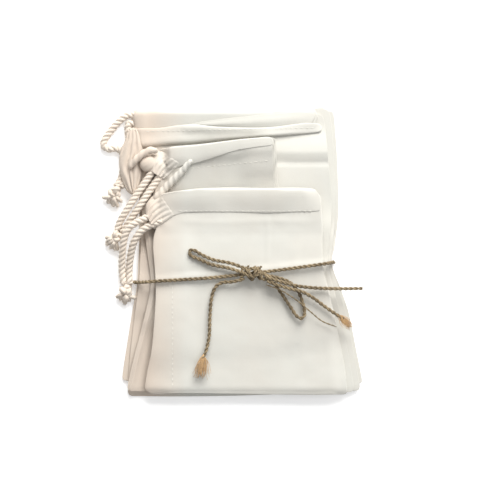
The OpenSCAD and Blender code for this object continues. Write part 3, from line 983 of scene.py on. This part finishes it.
def plies(
    pile, name, left, right, bottom, top, thickness, gap, relief, offsets, step, softness=1.2, bridge=4
):
    """One node's cloth: plies laid one on another, each with edges a little off the last."""
    parts = []
    for k, (dx_left, dx_right, dy, flare) in enumerate(offsets):
        xy = patch(
            moved(left, dx_left, dy, flare), moved(right, dx_right, dy, -flare),
            [(x, y + dy) for x, y in bottom], top, step, 2.2 + 0.6 * (k % 2),
        )
        own = relief(xy[..., 0], xy[..., 1], k)
        low, high = pile.lay(xy, thickness, gap, own, softness, bridge)
        parts.append((xy, low, high))
    pile.laid.append((name, parts))


def side_waves(x, y, amount, rows, width):
    """Waves along both sides of the large bag, that die away towards its middle over that width."""
    outward = np.clip((np.abs(x) - 50) / width, 0, 1)
    return amount * outward * np.maximum(sample(np.roll(WAVES, rows, 0), x, y), 0)


def lay_large_bag(pile):
    """The large bag: its folded-under tail, back, front and the three rolls of its casing and hem."""

    def tail(x, y, k):
        return gentle(x, y, 0.25) + side_waves(x, y, 0.35, 40 * k, 25)

    plies(
        pile, "large_bag_folded_tail", LARGE_LEFT, LARGE_RIGHT, [(-30, -90.8), (30, -91.4)],
        [(-40, 96), (-10, 95.8), (20, 97), (42, 99)], 0.55, 0.42, tail,
        [(1.2, -1.6, 0.8, 0.9), (0.4, -0.5, -0.4, -0.8), (0, 0, 0, 0)], 1.8,
    )

    def back(x, y, k):
        return gentle(x, y, 0.3) + side_waves(x, y, 0.4, 30 + 35 * k, 22)

    plies(
        pile, "large_bag_back_panel", BACK_LEFT, BACK_RIGHT, [(-25, -101.2), (30, -99.6)],
        [(-40, 96), (-10, 95.8), (20, 97), (42, 99)], 0.45, 0.2, back,
        [(1.0, -1.7, 1.2, 0.7), (0, 0, 0, 0)], 1.8,
    )

    def front(x, y, k):
        own = gentle(x, y, 0.55 + 0.2 * k) + drawn_in(x, y, 1.1)
        shelf = np.interp(y, [40, 59.6, 61.6, 69, 84], [0, 1.2, 0, 2.4, 0])
        own += shelf * np.clip((x - 10) / 12, 0, 1)
        own += crease(x, y, [(26, 64), (27, 50), (27.5, 40)], 3.0, 0.4)
        fold, _ = polyline_distance(x, y, FRONT_LEFT)
        inside = np.clip(1 - np.abs(fold - 2.6) / 3.4, 0, 1)
        own += (2.0 + 1.4 * k) * inside**1.5 * (0.75 + 0.3 * sample(WAVES, x, y))
        own += 0.6 * np.clip(1 - np.hypot(x - 62, y - 20) / 40, 0, 1) * np.maximum(sample(RIPPLES, x, y), 0)
        return np.maximum(own, 0)

    plies(
        pile, "large_bag_front_panel", FRONT_LEFT, FRONT_RIGHT, [(-30, -98.6), (30, -98.2)],
        [(-40, 95), (0, 94.6), (30, 95.6)], 0.45, 0.2, front,
        [(1.2, -2.0, 1.0, -0.5), (0, 0, 0, 0)], 1.5,
    )

    roll(
        pile, "large_bag_casing",
        [(-75.4, 84.6), (-76.2, 91), (-75.6, 98.9)], [(51.5, 88), (53, 94.5), (50, 100.6)],
        [(-50, 85.6), (-34, 86.2), (10, 86.4), (40, 87.6)],
        [(-56.7, 98.5), (-28.7, 98.0), (-9, 97.9), (3, 98.1), (15, 98.9), (31, 100.0), (44, 100.9)],
        4.0, 0.95, ("slope", "round"), (0.02, 0.30), 0.8,
    )
    roll(
        pile, "large_casing_fold", [(-38, 86.6), (-37.5, 88.2)], [(49, 88.9), (52, 96.0)],
        [(-15.7, 85.2), (11.2, 84.9), (25, 85.6)], [(-34, 88.9), (-20.7, 91.2), (11, 94.6), (41, 97.0)],
        1.9, 0.55, ("soft", "soft"), (0.25, 0.3), 0.5,
    )
    roll(
        pile, "large_bag_hem_band", [(-71, 73), (-72.8, 79), (-73.6, 85.4)], [(56, 83.4), (55.5, 89.0)],
        [(-68.6, 72.3), (-56.7, 73.9), (-35, 75.2), (-14.7, 77.1), (5.3, 78.8), (20.3, 80.0), (35, 81.2)],
        [(-56, 86.0), (-44.8, 87.6), (-33, 88.2), (-15.7, 86.6), (11.2, 86.0), (25.2, 86.8), (45.3, 89.4)],
        4.2, 0.28, ("round", "flat"), (0.03, 0.30), 0.4,
    )


ROLL_SIDES = {
    "soft": ease,
    "round": lambda t: np.sqrt(np.maximum(1 - (1 - t) ** 2, 0)),
    "slope": lambda t: np.maximum(t, 0) ** 0.85,
    "flat": lambda t: 0.12 + 0.88 * np.sqrt(np.maximum(t, 0)),
}
ROLL_STEP = 1.1
ROLL_SOFTNESS = 1.6
ROLL_GAP = 0.25


def roll(pile, name, left, right, bottom, top, height, peak, sides, tapers, flange):
    """A puffed band of cloth, such as a casing. Each side is round, or soft where it is stitched down,
    and it thins to its flange at its two ends over those shares of its length."""
    xy = patch(left, right, bottom, top, ROLL_STEP, 1.8)
    x, y = xy[..., 0], xy[..., 1]
    u, v = edge_share(x.shape)
    lower = ROLL_SIDES[sides[0]](np.clip(v / peak, 0, 1))
    upper = ROLL_SIDES[sides[1]](np.clip((1 - v) / (1 - peak), 0, 1))
    body = np.where(v < peak, lower, upper)
    ends = ease(np.clip(u / tapers[0], 0, 1)) * ease(np.clip((1 - u) / tapers[1], 0, 1))
    mouth = np.exp(-u / 0.06)
    swell = 1 + 0.12 * sample(WAVES, x, y) + (0.10 + 0.16 * mouth) * sample(CROSS_FOLDS, x, y)
    swell += 0.04 * sample(CRUMPLE, x, y) - 0.10 * np.maximum(sample(LONG_FOLDS, x, y), 0)
    thickness = flange + (height - flange) * body * (0.25 + 0.75 * ends) * swell
    low = sample(pile.support(ROLL_SOFTNESS, 2), x, y) + ROLL_GAP
    high = low + np.maximum(0.7 * flange, thickness)
    pile.raise_to(x, y, high)
    pile.laid.append((name, [(xy, low, high)]))


def lay_medium_bag(pile):
    """The medium bag, turned a few degrees; its mouth is drawn up at the left and stands proud."""

    def proud(x, y):
        fall = np.clip((y - 43 - 0.17 * (x + 10)) / 25, 0, 1)
        return 3.2 * fall * np.clip((x + 66) / 24, 0.35, 1)

    def under(x, y, k):
        return gentle(x, y, 0.3) + proud(x, y)

    for name, offset in (("folded_tail", (0.8, 2.5, 0.5, 0)), ("back_panel", (0, 1.2, 0, 0))):
        plies(
            pile, f"medium_bag_{name}", MEDIUM_LEFT, MEDIUM_RIGHT, [(-30, -93.6), (20, -93.8)],
            [(-28.7, 73.4), (-14.7, 75.1), (5, 77.4)], 0.75, 0.4, under, [offset], 2.4,
        )

    def front(x, y, k):
        own = gentle(x, y, 0.7)
        own += 0.5 * np.maximum(sample(CROSS_FOLDS, x, y), 0) * np.clip((y - 30) / 20, 0, 1)
        own += proud(x, y) + pleats(x, y, (-60.5, 57.5), 11, 1.3, 18)
        return np.maximum(own, 0)

    plies(
        pile, "medium_bag_front_panel", MEDIUM_LEFT, MEDIUM_RIGHT, [(-30, -93), (20, -93.2)],
        [(-28.7, 73.2), (-14.7, 74.9), (5, 77.2)],
        0.75, 0.35, front, [(1.0, 0, 0, 0)], 1.6,
    )
    roll(
        pile, "medium_bag_casing", [(-50, 57), (-53, 64), (-57, 71.3)], [(22.0, 73.8), (21.0, 79.2)],
        [(-42, 59.5), (-33, 61.0), (-21, 64.5), (-4.9, 69.6), (8, 72)],
        [(-50, 72.2), (-44.8, 72.8), (-28.7, 74.1), (-14.7, 75.8), (-0.7, 77.5), (12, 78.6)],
        2.4, 0.94, ("slope", "round"), (0.04, 0.60), 0.4,
    )


def lay_small_bag(pile):
    """The small bag in front, with its casing at the top and a fold at its foot."""

    def under(x, y, k):
        return gentle(x, y, 0.3) + drawn_in(x, y, 0.3)

    plies(
        pile, "small_bag_folded_tail", moved(SMALL_LEFT, 2.6), moved(SMALL_RIGHT, -2.2),
        [(-30, -97), (30, -98)], [(-20, 42.2), (20, 42)], 0.75, 0.4, under, [(0, 0, 0.8, 0.4)], 2.4,
    )
    plies(
        pile, "small_bag_back_panel", moved(SMALL_LEFT, 1.6), moved(SMALL_RIGHT, 0.8),
        [(-30, -97.8), (30, -98.6)], [(-20, 42.2), (20, 42)], 0.75, 0.35, under, [(0, 0, -0.5, -0.3)], 2.2,
    )

    def front(x, y, k):
        own = gentle(x, y, 1.3) + drawn_in(x, y, 1.7)
        own += crease(x, y, [(18.2, 27), (18.6, 10), (18.0, -9)], 1.1, 0.45)
        own += crease(x, y, [(-52, 22), (-20, 20), (20, 21.5), (52, 20.5)], 2.2, 0.3)
        own += 3.4 * np.clip((y - 12) / 28, 0, 1) + pleats(x, y, (-61, 25), 9, 0.9, 13)
        own += 0.35 * np.maximum(sample(CROSS_FOLDS, x, y), 0) * np.clip((y - 2) / 20, 0, 1)
        return np.maximum(own, 0)

    plies(
        pile, "small_bag_front_panel", moved(SMALL_LEFT, 0.8), SMALL_RIGHT,
        [(-60, -99), (-45, -98), (-4, -98.6), (40, -99.4)], [(-20, 42), (20, 41.8)],
        0.85, 0.3, front, [(0, 0, 0, 0)], 1.3, softness=2.2, bridge=3,
    )
    roll(
        pile, "small_bag_casing",
        [(-53, 20.5), (-60, 28), (-60.5, 36), (-54.5, 40.2)], [(54.9, 28.4), (55, 37), (50.5, 43.6)],
        [(-50, 23.5), (-40, 27.0), (-10, 27.6), (20, 27.0), (40, 27.8)],
        [(-39, 42.6), (-25, 43.9), (-4, 44.4), (17, 43.9), (35, 44.4)],
        3.4, 0.95, ("slope", "round"), (0.03, 0.10), 0.25,
    )


UNDER_TWINE_Z = 14.05
# The greatest height of the cloth along the twine, from left to right.
PRESSED_X = [-74, -72.9, -67.7, -63.5, -60, 55.5, 58, 60.0, 63.3, 64]
PRESSED_Z = [3.3, 4.2, 9.9, 13.0, 14.1, 14.1, 12.6, 10.1, 4.4, 3.6]


def press(pile):
    """The factor that squeezes the pile under the twine and rounds it off at its foot."""
    face = pile.top[(np.abs(CELL_X - 2) < 50) & (CELL_Y > -85) & (CELL_Y < 16)]
    factor = np.full(pile.top.shape, UNDER_TWINE_Z / np.percentile(face, 96))
    limit = np.interp(CELL_X, PRESSED_X, PRESSED_Z)
    distance = twine_distance(CELL_X, CELL_Y)
    bell = 0.62 * np.exp(-((distance / 15) ** 2)) + 0.38 * np.exp(-((distance / 3.6) ** 2))
    dip = 0.9 * np.exp(-((distance / 14) ** 2))
    factor *= blur(squeeze_to(pile, pile.top * factor, limit - dip, bell), 1.2)
    for node, route in TWINE_ROUTES.items():
        if node == "twine_stray_strand":
            continue
        near, _ = polyline_distance(CELL_X, CELL_Y, np.array(route)[:, :2])
        bell = np.exp(-((near / 5) ** 2))
        factor *= blur(squeeze_to(pile, pile.top * factor, UNDER_TWINE_Z, bell), 1.0)
    foot = np.clip((CELL_Y + 101.5) / 8.5, 0, 1)
    rounded = 0.42 + 0.58 * np.sqrt(1 - (1 - foot) ** 2)
    return factor * rounded


def squeeze_to(pile, top, limit, weight):
    """A factor that brings the top down to a limit where weight is 1."""
    top = np.maximum(blur(widen(top, 1), 1.0), 0.5)
    share = np.minimum(np.maximum(limit - pile.floor, 0.6) / np.maximum(top - pile.floor, 0.6), 1)
    return 1 - weight * (1 - share)


def pressed(pile, factor, xy, z):
    """Heights of a grid after the twine has drawn the pile together."""
    floor = np.minimum(sample(pile.floor, xy[..., 0], xy[..., 1]), z)
    return floor + (z - floor) * sample(factor, xy[..., 0], xy[..., 1])


# The gap left between plies, and the thinnest a pressed ply may be.
PLY_GAP = 0.05
THINNEST_PLY = 0.15


def lay_bags(cloth):
    """Lays the three bags and presses them: (the height of the top cloth, (name, piece, grids) of each)."""
    pile = Pile()
    lay_large_bag(pile)
    lay_medium_bag(pile)
    lay_small_bag(pile)
    factor = press(pile)
    surface = pile.floor.copy()
    sheets = []
    for name, grids in pile.laid:
        parts = []
        for xy, low, high in grids:
            x, y = xy[..., 0], xy[..., 1]
            low, high = pressed(pile, factor, xy, low), pressed(pile, factor, xy, high)
            lifted = np.maximum(low, sample(blur(widen(surface, 2), 0.9), x, y) + PLY_GAP)
            high = lifted + np.maximum(high - low, THINNEST_PLY)
            surface = raised(surface, x, y, high)
            parts.append(sheet_parts(xy, lifted, high))
        nodes = [name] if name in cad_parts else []
        piece = cloth_piece(f"{name}_cloth", parts, cloth, *nodes)
        sheets.append((name, piece, [xy for xy, _, _ in grids]))
    return surface, sheets


def cloth_piece(name, parts, material, *nodes):
    """A piece of cloth that stays with the bundle, from parts in millimetres."""
    piece = mesh_object(name, [(vertices * MM, faces) for vertices, faces in parts], material)
    return add_piece(piece, "bundle", "cotton_cloth", *nodes)


# ---------------------------------------------------------------- gathers, rolled hem and stitches


def puff(centre, radii, turn, folds, depth, low):
    """A rounded bulge of gathered cloth, folded from end to end along its long axis, and flat below."""
    sides, rings = 48, 20
    axis, across = level_axes(turn)
    theta = np.linspace(0, 2 * math.pi, sides, endpoint=False)
    vertices = []
    for s in np.linspace(-0.96, 0.96, rings):
        reach = math.sqrt(1 - s * s)
        fold = 1 + depth * (np.cos(folds * theta + 1.5 * s) + 0.4 * np.cos((2 * folds + 1) * theta))
        ring = np.array(centre) + axis * s * radii[0]
        ring = ring + np.outer(np.cos(theta) * radii[1] * reach * fold, across)
        ring = ring + np.outer(np.sin(theta) * radii[2] * reach * fold, UP)
        vertices.append(ring)
    vertices = np.vstack(vertices)
    vertices[:, 2] = np.maximum(vertices[:, 2], low)
    return vertices, ring_faces(rings, sides)


def rolled(points, radii, turns):
    """A rolled and twisted edge of cloth along a line, with rounded ends."""
    line = smooth_line(points, EDGE_STEP)
    share = np.linspace(0, 1, len(line))
    sizes = np.interp(share, np.linspace(0, 1, len(radii)), radii)
    to_end = np.minimum(share, 1 - share) * EDGE_STEP * len(line) / np.mean(radii)
    rounding = np.sqrt(1 - (1 - np.clip(to_end, 0.02, 1)) ** 2)
    return tube(line, sizes * rounding, 20, 2, 0.10, turns)


FOLD_THICKNESS = 0.9


def fan(surface, left, right, mouth_z, rise, folds):
    """Cloth that spreads from a drawn-up mouth: arched over the cords there, it lies down as it spreads."""
    xy = patch(left, right, (), (), 0.45, 1.6)
    x, y = xy[..., 0], xy[..., 1]
    u, v = edge_share(x.shape)
    arch = 1 - np.abs(2 * u - 1) ** 3
    wander = 0.35 * sample(WAVES, x, y) + 0.2 * sample(RIPPLES, x, y)
    fold = np.abs(np.cos(math.pi * (folds * u + wander * (0.4 + v)))) ** 0.9
    lying = ease(np.clip((v - 0.35) / 0.65, 0, 1))
    drawn = mouth_z + rise * arch * (1 - 0.25 * v) + 1.3 * (fold - 0.6)
    spread = sample(surface, x, y) + THINNEST_PLY + 1.1 * fold * (1 - lying)
    tucked = np.clip((v - 0.8) / 0.2, 0, 1) + v * np.clip((np.abs(2 * u - 1) - 0.75) / 0.25, 0, 1)
    high = np.maximum(spread, drawn * (1 - lying) + spread * lying) - 1.7 * tucked
    return sheet_parts(xy, high - FOLD_THICKNESS, high)


def lobe(left, right, base_z, height, folds, rows):
    """A hanging lobe of cloth with folds that run down it and come together at its tip."""
    xy = patch(left, right, (), (), 0.3, 2.5)
    x, y = xy[..., 0], xy[..., 1]
    u, v = edge_share(x.shape)
    across = np.sqrt(np.maximum(4 * u * (1 - u), 0))
    down = np.interp(v, [0, 0.08, 0.3, 0.8, 1], [0.5, 0.8, 1.0, 0.8, 0.5])
    wander = 0.5 * sample(np.roll(RIPPLES, rows, 0), x, y)
    fold = np.abs(np.cos(math.pi * (folds * u + wander + 0.25 * np.sin(3.2 * v)))) ** 0.8
    thickness = FOLD_THICKNESS + (height - FOLD_THICKNESS) * across * down * (0.45 + 0.55 * fold)
    low = np.full(x.shape, base_z) - 0.35 * thickness * across
    return sheet_parts(xy, low, low + thickness + 0.15 * thickness)


def gathered_cloth(surface, cloth):
    """The gathers that the drawcords leave from and the medium bag's rolled hem, by the casing they join."""
    large_parts = [
        lobe(
            [
                (-75.8, 39.2), (-79.6, 43), (-82.4, 50), (-84.2, 58),
                (-84.4, 65), (-83, 72), (-80.5, 77), (-79.2, 84),
            ],
            [(-73.2, 39.4), (-71.4, 45), (-69.6, 54), (-69.6, 62), (-68.6, 70), (-69.4, 77), (-71.5, 85)],
            5.6, 6.2, 3.4, 30,
        ),
    ]
    large = cloth_piece("large_gathered_lobe", large_parts, cloth, "large_bag_gathered_side")
    medium_parts = [
        fan(
            surface, [(-64.8, 57.9), (-65.0, 63), (-61.5, 68.5), (-55, 71.8)],
            [(-53.2, 50.1), (-49.5, 53.5), (-44, 57.5), (-37.5, 62)], 8.0, 4.6, 6.4,
        ),
        puff((-64.6, 61.0, 9.6), (6.0, 5.4, 3.9), 30, 5, 0.03, 6.0),
        rolled(
            [
                (-57.5, 69.6, 11.4), (-63, 70.2, 11.6), (-69, 67, 11.9),
                (-74, 62.4, 11.8), (-77.4, 57.6, 10.8),
            ],
            [2.0, 2.5, 2.5, 2.3, 1.7], 2.4,
        ),
    ]
    medium = cloth_piece("medium_gather", medium_parts, cloth, "medium_bag_gathered_mouth")
    small_parts = [
        fan(
            surface, [(-66, 27.7), (-65.2, 33), (-61, 38), (-53, 41.2)],
            [(-60, 15.1), (-55.5, 18.0), (-50, 21.8), (-42, 25.0)], 11.2, 5.0, 5.6,
        ),
    ]
    small = cloth_piece("small_gather", small_parts, cloth, "small_bag_gathered_mouth")
    hem = cloth_piece("medium_rolled_hem", [rolled_hem(surface)], cloth)
    return {"large_bag_casing": [large], "medium_bag_casing": [medium, hem], "small_bag_casing": [small]}


def rolled_hem(surface):
    """The medium bag's hem, rolled on itself between its mouth and the small bag, over the cloth there."""
    route = [(-34, 63.4), (-37, 60.2), (-41.5, 55.0), (-49.7, 46.8), (-57.5, 38.6), (-64, 33.0)]
    xy = smooth_line(route, 2.0)
    z = np.minimum(sample(surface, xy[:, 0], xy[:, 1]) + 1.0, 16.0)
    even_z = np.convolve(np.pad(z, 2, mode="edge"), np.ones(5) / 5, "valid")
    return rolled(np.column_stack([xy, even_z]), [1.5, 2.3, 2.6, 2.7, 2.6, 2.2], 4.5)


STITCH_LINES = {
    "large_bag_hem_stitches": [(-66, 83.6), (52, 86)],
    "medium_bag_hem_stitches": [(-42, 57), (20, 63)],
    "small_bag_hem_stitches": [(-43, 28), (50, 28)],
    "small_bag_side_seam": [(-47.5, -24), (-47.5, -95)],
}
STITCH_PITCH = 3.6
STITCH_L = 2.3
# A stitch's height over the cloth along its length: both ends go in.
STITCH_ARC = np.array([-0.25, 0.02, 0.08, 0.08, 0.02, -0.25])
THREAD_R = 0.18


def sew(surface, material):
    """Rows of running stitches that lie in the top of the cloth."""
    for node, ends in STITCH_LINES.items():
        line = resample(np.array(ends, float), STITCH_PITCH)
        heading = unit(line[-1] - line[0])
        parts = []
        for point in line[:-1]:
            along = point + heading * np.linspace(0, STITCH_L, len(STITCH_ARC))[:, None]
            z = sample(surface, along[:, 0], along[:, 1]) + STITCH_ARC
            parts.append(tube(np.column_stack([along, z]) * MM, THREAD_R * MM, 7))
        piece = mesh_object(f"{node}_thread", parts, material)
        add_piece(piece, "bundle", "sewing_thread", node)


# Each hidden run: its body, its two ends, its far turn, and its diameter as squeezed by the casing.
INNER_CORDS = {
    "large_bag_inner_cord": ("large_drawcord", (-56, 95.3, 3.0), (-56, 89.7, 3.0), (38, 92.5, 3.0), 3.6),
    "medium_bag_inner_cord": ("bundle", (-46, 68.6, 8.8), (-45.6, 65.2, 8.8), (8, 71.6, 8.8), 2.8),
    "small_bag_inner_cord": ("bundle", (-50, 38.2, 12.4), (-50, 34.4, 12.4), (44, 36.3, 12.4), 2.8),
}


def inner_cords(surface, material):
    """The runs of cord that stay hidden inside the casings, from one run round to the other."""
    lowest_near = -widen(-surface, 3)
    for node, (body, start, end, turn, diameter) in INNER_CORDS.items():
        start, end, turn = (np.array(p, float) for p in (start, end, turn))
        half = (start - end) / 2
        middle = turn + unit(turn - (start + end) / 2) * np.linalg.norm(half)
        points = [start, start + (turn - start) * 0.5 + half * 0.5, turn + half, middle, turn - half]
        points += [end + (turn - end) * 0.5 - half * 0.5, end]
        line = smooth_line(np.array(points), 1.2)
        under_cloth = sample(lowest_near, line[:, 0], line[:, 1]) - diameter / 2 - 0.7
        line[:, 2] = np.clip(under_cloth, diameter / 2 + 0.2, line[:, 2])
        line *= MM
        piece = mesh_object(f"{node}_laid", twisted(line, diameter * MM, 3, CORD_PITCH, sides=6), material)
        add_piece(piece, body, "cotton_cord", node)


look_down_camera()
studio()
cord_yarn = yarn_material("laid_cotton", (0.765, 0.685, 0.595), (0.67, 0.58, 0.49), 900.0, 0.3)
jute = yarn_material("jute", (0.33, 0.255, 0.155), (0.10, 0.074, 0.044), 1100.0, 0.15)
jute_golden = yarn_material("combed_jute", (0.66, 0.44, 0.23), (0.42, 0.26, 0.12), 900.0, 0.2)
cord_rng = random.Random(3)
for bag in ("large", "medium", "small"):
    drawcord(cord_rng, f"{bag}_bag", f"{bag}_drawcord", cord_yarn)
tie_twine(jute, jute_golden)
# The second, warmer and darker tone is also painted shade on the left of the bundle.
cloth = cloth_material("cotton_weave", (0.70, 0.697, 0.645), (0.67, 0.575, 0.485))
surface, sheets = lay_bags(cloth)
gathers = gathered_cloth(surface, cloth)
thread = yarn_material("spun_thread", (0.74, 0.73, 0.67), (0.66, 0.64, 0.58), 1500.0, 0.1)
sew(surface, thread)
inner_cords(surface, cord_yarn)
